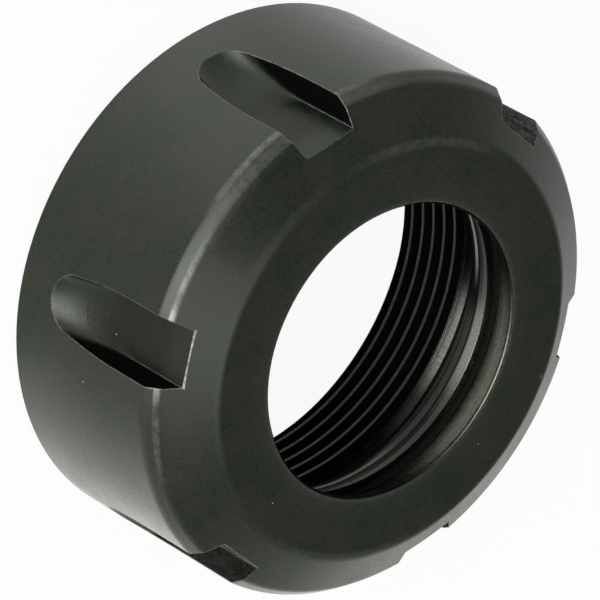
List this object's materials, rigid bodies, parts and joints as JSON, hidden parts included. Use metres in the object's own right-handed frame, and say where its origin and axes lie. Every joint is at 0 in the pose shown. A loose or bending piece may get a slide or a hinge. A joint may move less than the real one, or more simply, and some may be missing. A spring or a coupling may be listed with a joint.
{
  "type": "collet nut",
  "caption": "Round clamping nut for a spring collet chuck, with run-out wrench slots, a coned front, a cone seat, an off-centre extraction lip and a threaded rear bore.",
  "frame": {"origin": "centre of the threaded back face, the end the nut stands on", "axes": "+Z along the nut's axis, from the threaded back face to the front face that the tool comes out of; +X through the middle of a wrench slot"},
  "size_m": [0.05, 0.05, 0.0225],
  "materials": {
    "black_oxide_steel": "turned and milled steel, satin black oxide with brown and olive tints, edges worn bright"
  },
  "bodies": {
    "root": {"collet_nut": "black_oxide_steel"}
  },
  "joints": []
}
